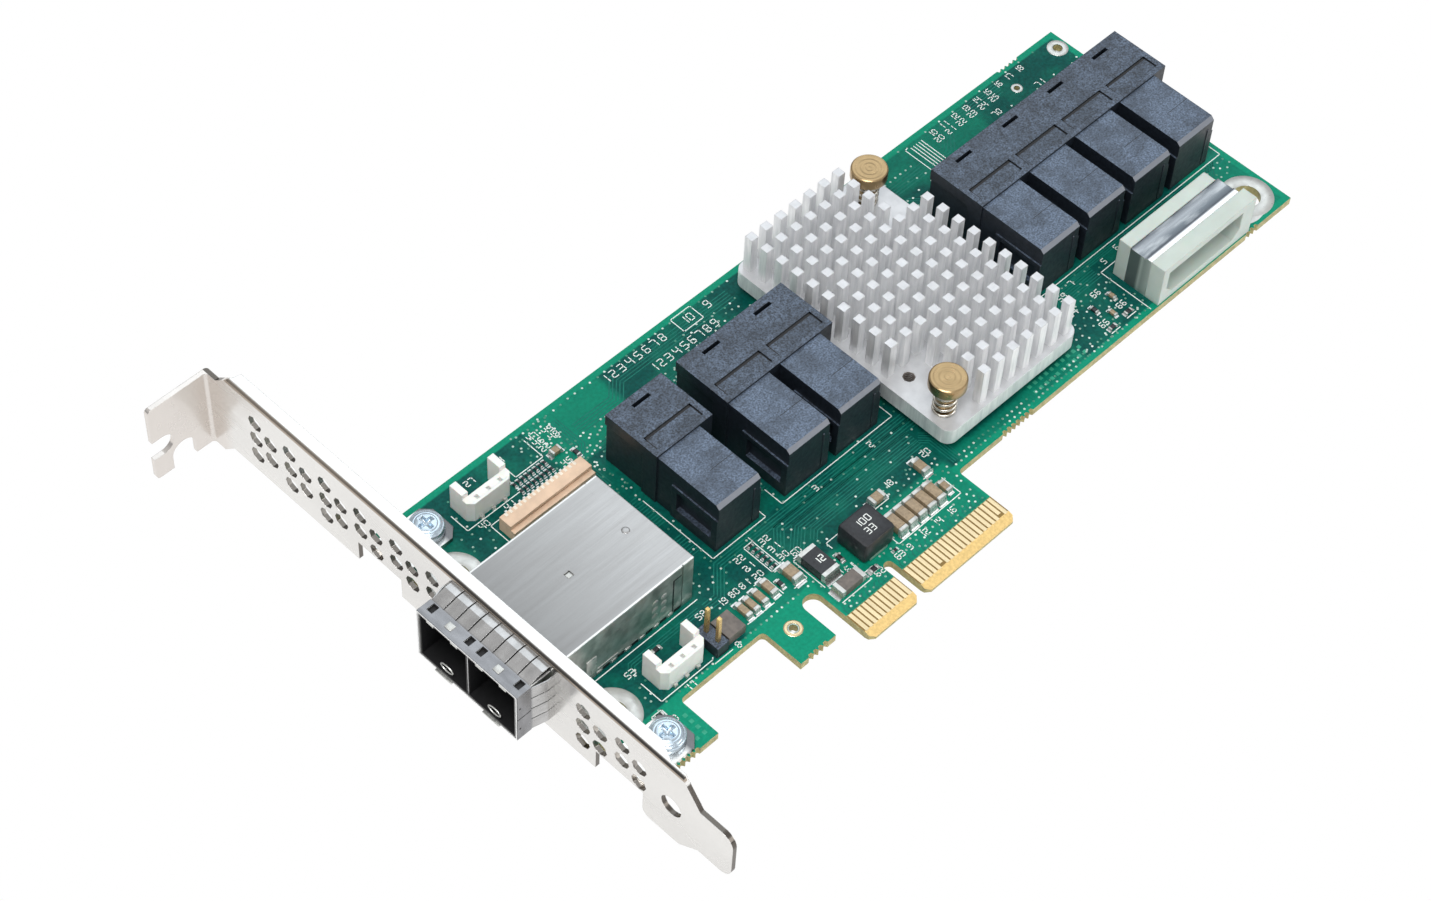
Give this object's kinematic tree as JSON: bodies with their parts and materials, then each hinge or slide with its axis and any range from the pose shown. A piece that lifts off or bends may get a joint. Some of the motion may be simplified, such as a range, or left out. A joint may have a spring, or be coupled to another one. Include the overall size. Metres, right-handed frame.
{
  "type": "sas expander card",
  "caption": "Storage expander card: green board with slot bracket, twin-port metal cage, black cable sockets, pin-fin heatsink and power socket.",
  "frame": {"origin": "middle of the key slot, on the tips of the edge contacts, on the board's component side", "axes": "+X along the card away from the bracket, +Y from the edge contacts to the top edge, +Z out of the component side"},
  "size_m": [0.1799, 0.1206, 0.0209],
  "materials": {
    "board_green": "green solder mask over glass laminate",
    "contact_gold": "hard gold plating",
    "plated_tin": "bare tinned copper",
    "bracket_nickel": "bright nickel plated steel",
    "screw_zinc": "bluish zinc plating",
    "cage_tin": "brushed tin plated steel",
    "socket_black": "fine textured black",
    "sink_satin": "satin anodised",
    "knob_brass": "turned",
    "spring_steel": "bright wire",
    "chip_package": "moulded package",
    "thermal_compound": "soft grey pad",
    "power_nylon": "pale translucent nylon",
    "header_white": "off-white nylon",
    "ribbon_beige": "peach beige",
    "capacitor_brown": "fired ceramic",
    "solder_end": "tinned end caps",
    "bead_grey": "ferrite"
  },
  "bodies": {
    "root": {"bracket_nuts": "screw_zinc", "bracket_screws": "screw_zinc", "cage_divider": "cage_tin", "cage_rear_cover": "cage_tin", "cage_shell": "cage_tin", "circuit_board": "board_green", "diode": "bead_grey", "diode_ends": "solder_end", "double_socket": "socket_black", "double_socket_contacts": "contact_gold", "edge_contacts": "contact_gold", "expander_chip": "chip_package", "filter_bead": "bead_grey", "fuse": "chip_package", "fuse_ends": "solder_end", "heatsink": "sink_satin", "jumper_base": "socket_black", "jumper_posts": "contact_gold", "large_capacitors": "capacitor_brown", "large_capacitors_ends": "solder_end", "lower_header": "header_white", "lower_header_pins": "plated_tin", "lower_receptacle": "socket_black", "lower_receptacle_contacts": "contact_gold", "plated_rings": "plated_tin", "power_coil": "chip_package", "power_pins": "plated_tin", "power_socket": "power_nylon", "power_strap": "cage_tin", "quad_socket": "socket_black", "quad_socket_contacts": "contact_gold", "ribbon_socket": "ribbon_beige", "ribbon_socket_leads": "plated_tin", "single_socket": "socket_black", "single_socket_contacts": "contact_gold", "slot_bracket": "bracket_nickel", "spring_collar": "cage_tin", "spring_screws": "knob_brass", "springs": "spring_steel", "thermal_pad": "thermal_compound", "upper_header": "header_white", "upper_header_pins": "plated_tin", "upper_receptacle": "socket_black", "upper_receptacle_contacts": "contact_gold"}
  },
  "joints": []
}
